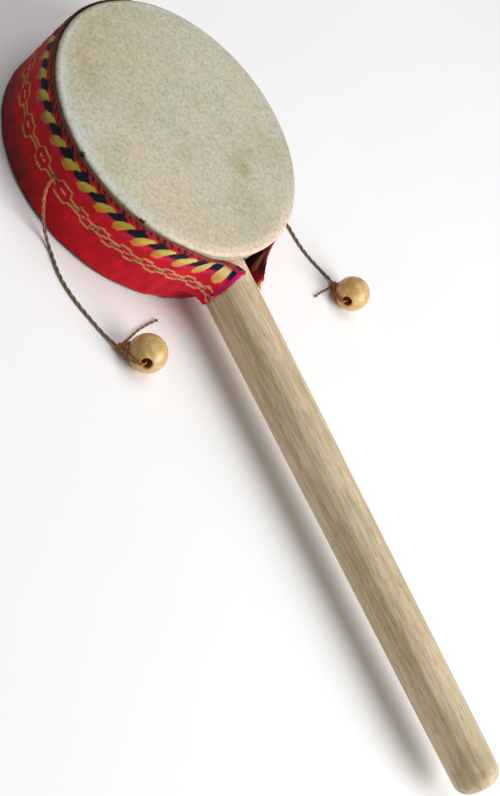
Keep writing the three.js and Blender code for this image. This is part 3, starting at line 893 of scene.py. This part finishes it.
def end_line(height, half_width, shares):
    """A flared end at one height, from the drum's left side (share 0) to the cut edge (share 1)."""
    start = side_points(LEAVE_ANGLE)
    onward = unit(side_points(LEAVE_ANGLE - 0.01) - start)
    flare = flare_at(height)
    edge = np.array([-half_width, -RIBBON_ALONG - flare])
    reach = np.linalg.norm(edge - start) / 3
    outward = flare / FLARE
    heading = unit(np.array([1 - outward, -outward]))
    a, b, c, d = start, start + onward * reach, edge - heading * reach, edge
    s = shares[:, None]
    return a * (1 - s) ** 3 + 3 * b * s * (1 - s) ** 2 + 3 * c * s**2 * (1 - s) + d * s**3


def ribbon_rows(heights):
    """The ribbon's middle surface (heights, columns, 3), how far each point lies along it from
    the drum's back, and its outward direction there."""
    rows, lengths = [], []
    sides = LEAVE_ANGLE + np.linspace(0, 1, SIDE_COLUMNS) * 2 * (math.pi - LEAVE_ANGLE)
    shares = np.linspace(0, 1, END_COLUMNS)[1:]
    for height in heights:
        left = end_line(height, left_edge(height), shares)[::-1]
        right = end_line(height, right_edge(height), shares) * (-1, 1)
        flat = np.concatenate([left, side_points(sides), right])
        along = np.concatenate([[0], np.cumsum(np.linalg.norm(np.diff(flat, axis=0), axis=1))])
        rows.append(np.column_stack([flat, np.full(len(flat), height)]))
        lengths.append(along - along[-1] / 2)
    surface = np.array(rows)
    normals = np.cross(np.gradient(surface, axis=1), np.gradient(surface, axis=0))
    return surface, np.array(lengths), normals / np.linalg.norm(normals, axis=2)[..., None]


def jitter(along, down, seed):
    """An even random number from 0 to 1 for each stitch."""
    i = np.floor(along / STITCH_LONG).astype(int)
    j = np.floor(down / STITCH_DEEP).astype(int)
    return np.modf(np.abs(np.sin(i * 12.9898 + j * 78.233 + seed) * 43758.5453))[0]


class Weave:
    """The ribbon's cloth: a colour and a relief for each stitch, from its distances along the
    ribbon, down from the front selvedge and from the nearest cut end."""

    def __init__(self, along, down, cut):
        flat = np.stack([along, down, 0 * down], -1)
        self.flat = flat
        self.cut = cut
        self.spread = jitter(along, down, 1.0)
        self.along = along + 0.35 * waves(flat, 9.0, 31.0) + 0.12 * waves(flat, 1.6, 33.0)
        self.down = down + 0.25 * waves(flat, 7.0, 57.0) + 0.10 * waves(flat, 1.6, 59.0)
        self.crimson = between(cut, *CRIMSON)
        self.maroon = between(cut, *MAROON)
        self.magenta = between(cut, *MAGENTA)
        self.colour = self.crimson.copy()
        self.relief = 0.05 * np.cos(TURN * self.along / RIB)

    def lay(self, mask, dye, height):
        """Threads of one dye laid where the mask is set, standing out by a height."""
        self.colour[mask] = dye if dye.ndim == 1 else dye[mask]
        self.relief[mask] += height


def lay_front_selvedge(weave):
    """Maroon, flecked dark and crimson."""
    down = weave.down
    fleck = np.sin(TURN * weave.along / 2.83 + 0.6)
    weave.lay(down < 1.9, weave.maroon, 0.05)
    weave.lay((down < 1.9) & (fleck + weave.spread > 0.9) & (down > 0.3), DARK, 0)
    weave.lay((down < 2.2) & (fleck < -0.4) & (down > 1.0), weave.crimson, 0.03)


def lay_squares(weave):
    """A row of dark squares and one of yellow-green blocks between them, which fade downwards."""
    along, down, cut, spread = weave.along, weave.down, weave.cut, weave.spread
    half = SQUARE_PITCH / 2
    from_square = np.mod(along - SQUARE_PHASE + half, SQUARE_PITCH) - half
    from_lime = np.mod(along - SQUARE_PHASE, SQUARE_PITCH) - half
    tall = 2.7 + 0.7 * (1 - smooth(35, 60, cut)) + 0.5 * smooth(82, 95, cut)
    slant = down - 7.7 - 0.4 * from_square
    under_square = (np.abs(from_square) < 2.2) & (np.abs(slant) < 0.9)
    weave.lay(under_square & (spread < 0.75), weave.magenta, 0.14)
    fading = smooth(3.2, 5.4, down + 1.1 * spread - 0.8 * tall)[..., None]
    lime = between(cut, *LIME)
    block = lime + (between(cut, *FRINGE) - lime) * fading
    from_block = np.abs((down - 2.8 - tall) / tall) ** 2.6
    in_block = np.abs(from_lime / 2.1) ** 2.6 + from_block + 0.35 * (spread - 0.5) < 1
    weave.lay(in_block, block, 0.2)
    in_square = np.abs(from_square / 2.25) ** 2.6 + np.abs((down - 4.1) / 2.2) ** 2.6 < 1
    weave.lay(in_square, between(cut, *NAVY), 0.24)


def lay_chain(weave):
    """The gold chain: open links near the back, drawn out in a braid near the cut ends."""
    cut, spread = weave.cut, weave.spread
    gold = between(cut, *GOLD)
    link = (np.minimum(cut, CHAIN_CHANGE) - CHAIN_START) / NEAR_LINK
    link = link + np.maximum(cut - CHAIN_CHANGE, 0) / FAR_LINK
    open_links = smooth(56, 64, cut)
    wide = 2.05 + 0.8 * open_links
    swing = 0.17 * (1 - open_links)
    heart = weave.down - CHAIN_DEPTH - 1.2 * smooth(82, 92, cut)
    near_link = np.mod(link + 0.5, 1) - 0.5
    filled = (open_links < 0.5) & (np.abs(heart) < 1.1) & (np.abs(near_link) > 0.3)
    weave.lay(filled & (spread < 0.8), gold * 0.72, 0.16)
    for side in (-1, 1):
        wave = np.cos(TURN * (link + side * swing))
        half = 0.85 + (wide - 0.85) * smooth(-0.35, 0.45, wave)
        line = np.abs(heart - side * half) < 0.40 + 0.14 * (spread - 0.5)
        weave.lay(line, gold, 0.26)
    dash = (np.abs(heart) < 0.34) & (np.abs(near_link) < 0.12)
    weave.lay(dash & (spread < 0.85), PINK, 0.14)
    tie = (np.abs(heart) < 0.5) & (np.abs(np.abs(near_link) - 0.42) < 0.06)
    weave.lay(tie & (spread < 0.7), OLIVE, 0.12)


def stitches(along, down, cut):
    """The ribbon's colours and relief, with its pattern, its soil and painted shade, and its uneven
    threads with painted light and shade along them.
    """
    weave = Weave(along, down, cut)
    lay_front_selvedge(weave)
    lay_squares(weave)
    lay_chain(weave)
    weave.lay(weave.down > RIBBON_DEPTH - 0.8, weave.maroon, 0.06)
    weave.lay((cut < 1.4) & (weave.down < 13), weave.magenta * (0.78, 0.5, 0.9), 0)

    # Darker towards its back edge, most on the far side from the handle: partly soil, partly painted
    # shade near the floor on the side away from the key light.
    soiled = smooth(19.5, 23.5, weave.down) * smooth(70, 86, cut)
    colour = weave.colour + (0.62 * soiled)[..., None] * (SOIL - weave.colour)

    # Threads dyed unevenly stitch by stitch, and laid unevenly in soft streaks across the ribbon; the
    # streaks and the ribs are painted lighter where they stand out and darker where they sink, as
    # painted light and shade.
    flat = weave.flat
    streaks = waves(flat * (1, 0.35, 1), 2.6, 11.0) + 0.8 * waves(flat * (1, 0.5, 1), 6.0, 12.0)
    ribs = 0.035 * np.cos(TURN * weave.along / RIB)
    shade = 0.92 + ribs + 0.16 * (weave.spread - 0.5) + 0.22 * streaks
    relief = weave.relief + (0.05 * (jitter(weave.along, weave.down, 5.0) - 0.5) + 0.10 * streaks)
    return np.clip(colour * shade[..., None], 0, 1), relief


def cord_puckers(surface):
    """How far the cords' holes draw the ribbon in at each point, from 0 to 1."""
    hole_x = RIBBON_ACROSS * math.sin(CORD_HOLE_ANGLE)
    hole_y = -RIBBON_ALONG * math.cos(CORD_HOLE_ANGLE)
    pucker = np.zeros(surface.shape[:2])
    for side in (-1, 1):
        away = np.linalg.norm(surface - (side * hole_x, hole_y, CORD_HOLE_HEIGHT), axis=2)
        pucker = np.maximum(pucker, hill(away, 0, 1.1))
    return pucker


def lie_of_edges(along, down, cut):
    """How far the ribbon bulges out and how far it is moved up, near its edges and cut ends."""
    edge_line = np.stack([along, 0 * down, 0 * down], -1)
    ragged = 0.55 * waves(edge_line, 0.9, 6.0) + 0.45 * waves(edge_line, 9.0, 8.0)
    on_left = 1 - smooth(-10, 10, along)
    loose = on_left * hill(cut, 17, 7)
    near_back = smooth(RIBBON_DEPTH - 6, RIBBON_DEPTH, down)
    lifted = on_left * hill(cut, 19.7, 3.2) * near_back
    folded = 1.9 * on_left * (1 - smooth(8, 24, cut)) + 0.85 * smooth(5, 25, along)
    folded *= 1 - smooth(0, 3.2, down)
    back_edge = smooth(RIBBON_DEPTH - 2.2, RIBBON_DEPTH, down)
    front_edge = 1 - smooth(0, 1.4, down)
    up = back_edge * (ragged + 0.3) + front_edge * 0.6 * ragged - front_edge * 0.2
    return 0.5 * loose + 0.3 * back_edge * ragged, up + 1.1 * lifted - folded


def ribbon_faces(columns):
    """The outer side, the inner side, the two selvedges and the two cut ends."""
    first = RIBBON_ROWS * columns
    faces = grid_faces(RIBBON_ROWS, columns)
    faces += [face[::-1] for face in grid_faces(INSIDE_ROWS, columns, first=first)]
    last_outer = (RIBBON_ROWS - 1) * columns
    last_inner = first + (INSIDE_ROWS - 1) * columns
    for j in range(columns - 1):
        faces.append((j + 1, j, first + j, first + j + 1))
        faces.append((last_outer + j, last_outer + j + 1, last_inner + j + 1, last_inner + j))
    for j, turn in ((0, 1), (columns - 1, -1)):
        ring = [i * columns + j for i in range(RIBBON_ROWS)]
        ring += [first + i * columns + j for i in range(INSIDE_ROWS)][::-1]
        faces.append(ring[::turn])
    return faces


def make_ribbon():
    """The band, its outer side woven and its inner side plain and darkened with painted shade, and its
    loose threads.
    """
    heights = np.linspace(RIBBON_FRONT, RIBBON_BACK, RIBBON_ROWS)
    middle, along, normals = ribbon_rows(heights)
    columns = middle.shape[1]
    down = np.repeat((RIBBON_FRONT - heights)[:, None], columns, 1)
    cut = along[:, -1:] - np.abs(along)
    colours, relief = stitches(along, down, cut)
    sag = 0.22 * waves(np.stack([along, down, 0 * down], -1), 8.0, 4.0)
    bulge, up = lie_of_edges(along, down, cut)
    pucker = cord_puckers(middle)
    outer = middle + normals * (RIBBON_SKIN + relief + sag + bulge - 0.55 * pucker)[..., None]
    outer[..., 2] = np.clip(outer[..., 2] + up, 0.12, RIBBON_FRONT + 0.2)
    # Painted shade in the dimples round the cords' holes.
    colours = colours * (1 - 0.6 * pucker[..., None])

    picked = np.linspace(0, RIBBON_ROWS - 1, INSIDE_ROWS).round().astype(int)
    inner = (middle - normals * RIBBON_SKIN)[picked]
    inner[..., 2] = outer[picked, :, 2]
    points = np.concatenate([outer.reshape(-1, 3), inner.reshape(-1, 3)]) + (0, DRUM_Y, 0)
    piece = make_piece("woven_ribbon_band", points, ribbon_faces(columns), STITCH_PAINT)
    # The inner side: the outer side's colours dimmed and reddened, partly the plain back of the weave,
    # partly painted shade.
    inside = colours[picked] * 0.55 + 0.2 * rgb("8c1424")
    give_colours(piece, "stitch", np.concatenate([colours.reshape(-1, 3), inside.reshape(-1, 3)]))
    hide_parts("woven_ribbon")
    threads = make_threads(outer + (0, DRUM_Y, 0), normals)


def thread(start, heading, length, radius, droop, chance):
    """A loose thread: a thin tapered tube that starts along heading, wanders and droops."""
    steps = np.linspace(0, 1, 7)
    bend = np.array([chance.uniform(-0.3, 0.3) for _ in range(3)])
    line = start + length * (steps[:, None] * heading + steps[:, None] ** 2 * bend)
    line[:, 2] -= droop * length * steps**2
    line[:, 2] = np.maximum(line[:, 2], 0.25)
    sides = 6
    around = np.broadcast_to(np.linspace(0, TURN, sides, endpoint=False), (len(line), sides))
    radii = np.repeat((radius * (1 - 0.45 * steps))[:, None], sides, 1)
    return capped_tube(swept(line, radii, around))


THREAD_RADIUS = 0.2
# Threads of the right and the left cut end: the column of the end and one further in, how many,
# the longest, the lowest as a share of the ribbon's width, and how much they point down.
CUT_ENDS = [(-1, -5, 150, 3.4, 0.42, 0.45), (0, 4, 70, 1.1, 0.55, 0.0)]
# Dyes of the right end's threads from its front corner down, and of the left one's.
RIGHT_DYES = ["200c10", "2a1014", "5e101e", "a81428", "c3142c", "dc3c1e", "e88a34", "e8b850",
              "d02434", "c3142c", "c81846", "d81852"]
LEFT_DYE = "d81852"
# Tufts that stand over the hide's edge: their angle round the drum, and their dyes.
TUFTS = [(187, ("0d2429", "12343a", "7d1528")), (218.5, ("4a2c1c", "6b4426", "7d1528"))]
TUFT_THREADS = 11


def frayed_threads(surface, normals, chance):
    """The threads of the cut ends, each with its dye."""
    for column, inward, count, most, lowest, downwards in CUT_ENDS:
        ahead = surface[:, column] - surface[:, inward]
        ahead /= np.linalg.norm(ahead, axis=1)[:, None]
        for _ in range(count):
            share = chance.uniform(0.0, lowest)
            row = int(share * (RIBBON_ROWS - 1))
            heading = ahead[row] + normals[row, column] * chance.uniform(-0.1, 0.35)
            heading = heading - (0, 0, downwards)
            start = surface[row, column] - ahead[row] * 0.4 - normals[row, column] * 0.15
            length = most * chance.uniform(0.4, 1.0) * (1 - 0.5 * share)
            dye = LEFT_DYE
            if column == -1:
                dye = RIGHT_DYES[int(share / lowest * 9.5 + chance.uniform(0, 2.4))]
            droop = chance.uniform(0.1, 0.6)
            yield thread(start, heading, length, THREAD_RADIUS, droop, chance), dye


def tuft_threads(chance):
    """The threads of the tufts, each with its dye."""
    for angle, codes in TUFTS:
        place = math.radians(angle)
        out = np.array([math.cos(place), math.sin(place), 0])
        along = np.array([-math.sin(place), math.cos(place), 0])
        foot = np.array([0, DRUM_Y, RIBBON_FRONT - 0.8]) + out * (ACROSS, ALONG, 1) * RIBBON_RADIUS
        for k in range(TUFT_THREADS):
            start = foot + along * chance.uniform(-0.9, 0.9)
            heading = np.array([0, 0, 1.0]) + along * chance.uniform(-0.5, 0.5) - out * 0.35
            length = chance.uniform(1.4, 2.3)
            yield thread(start, heading, length, THREAD_RADIUS, 0.1, chance), codes[k % len(codes)]


def make_threads(surface, normals):
    """The frayed threads of the cut ends, and the tufts, as one piece."""
    chance = random.Random(5)
    parts, dyes = [], []
    for strands in (frayed_threads(surface, normals, chance), tuft_threads(chance)):
        for part, code in strands:
            parts.append(part)
            dyes.append(np.broadcast_to(rgb(code) * chance.uniform(0.8, 1.15), (len(part[0]), 3)))
    points, faces = join_parts(parts)
    points[:, 2] = np.minimum(points[:, 2], FACE_HEIGHT + 1.2)
    piece = make_piece("ribbon_loose_threads", points, faces, STITCH_PAINT)
    give_colours(piece, "stitch", np.concatenate(dyes))
    return piece


# ---- Handle


HANDLE_SIDES = 120
TIP_Y, ROOT_Y = HANDLE_LOW[1], HANDLE_HIGH[1]
TAPER_START = DRUM_Y - HEAD_RADIUS


def handle_profile():
    """The stick's outline from its tip to its root, as (radius, place along it)."""
    corner = np.linspace(0, math.pi / 2, 12)
    flat_radius = TIP_RADIUS - TIP_ROUND
    taper_end = TIP_Y + TIP_ROUND
    profile = [(r, TIP_Y) for r in (0.8, 1.8, 3.0)]
    profile += [(flat_radius + TIP_ROUND * math.sin(a), taper_end - TIP_ROUND * math.cos(a))
                for a in corner]
    stretch = np.linspace(taper_end, TAPER_START, 220)[1:]
    slope = (HANDLE_RADIUS - TIP_RADIUS) / (TAPER_START - taper_end)
    profile += [(TIP_RADIUS + slope * (y - taper_end), y) for y in stretch]
    profile += [(HANDLE_RADIUS, y) for y in np.linspace(TAPER_START, ROOT_Y - 1, 8)[1:]]
    profile += [(HANDLE_RADIUS - 1, ROOT_Y), (4.0, ROOT_Y)]
    return np.array(profile)


def make_handle():
    """A sanded stick, lightly uneven, its tip rounded over."""
    profile = handle_profile()
    around = np.linspace(0, TURN, HANDLE_SIDES, endpoint=False)
    out = np.stack([np.cos(around), 0 * around, np.sin(around)], 1)
    rings = profile[:, None, :1] * out
    rings[..., 1] += profile[:, 1:]
    uneven = 0.07 * waves(rings * (1, 0.12, 1), 6.0, 1.0)
    uneven += 0.035 * waves(rings * (1, 0.05, 1), 1.4, 2.0)
    free = smooth(0, 4, TAPER_START + 4 - rings[..., 1])
    rings += out * ((uneven - 0.06) * free)[..., None]
    rings[..., 2] += HANDLE_HEIGHT
    points, faces = capped_tube(rings)
    piece = make_piece("handle_stick", points, faces, HANDLE_PAINT)
    patch = 1 - smooth(0, 24, points[:, 1] - TIP_Y)
    above = points[:, 2] - HANDLE_HEIGHT
    turned = np.degrees(np.arctan2(above, points[:, 0]))
    streak = hill(turned, 150 + 5 * waves(points * (0, 1, 0), 40.0, 6.0), 7)
    towards_tip = 1 - smooth(-75, -20, points[:, 1])
    give_values(
        piece,
        dusky=np.clip(patch * (0.3 + 0.6 * waves(points, 5.0, 3.0)), 0, 1),
        # Painted light on the root's upper side, next to the drum.
        pale_root=0.75 * smooth(36, 43, points[:, 1]) * smooth(-1, 5, above),
        olive_streak=0.55 * streak * (0.35 + 0.65 * towards_tip),
    )
    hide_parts("handle")


# ---- The whole

make_camera()
make_studio()
TWINE_PAINT = twine_paint()
BEAD_PAINT = bead_paint()
STITCH_PAINT = stitch_paint()
HANDLE_PAINT = handle_paint()
make_cord_set("left", LEFT_ROUTE, LEFT_END)
make_cord_set("right", RIGHT_ROUTE, RIGHT_END)
make_head("front_hide_head", "front_head", True)
make_head("back_hide_head", "back_head", False)
make_ribbon()
make_handle()
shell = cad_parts["drum_shell"]
shell.data.materials.clear()
shell.data.materials.append(shell_paint())

[[list(corner) for corner in box] for box in (cad_bounds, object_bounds())]
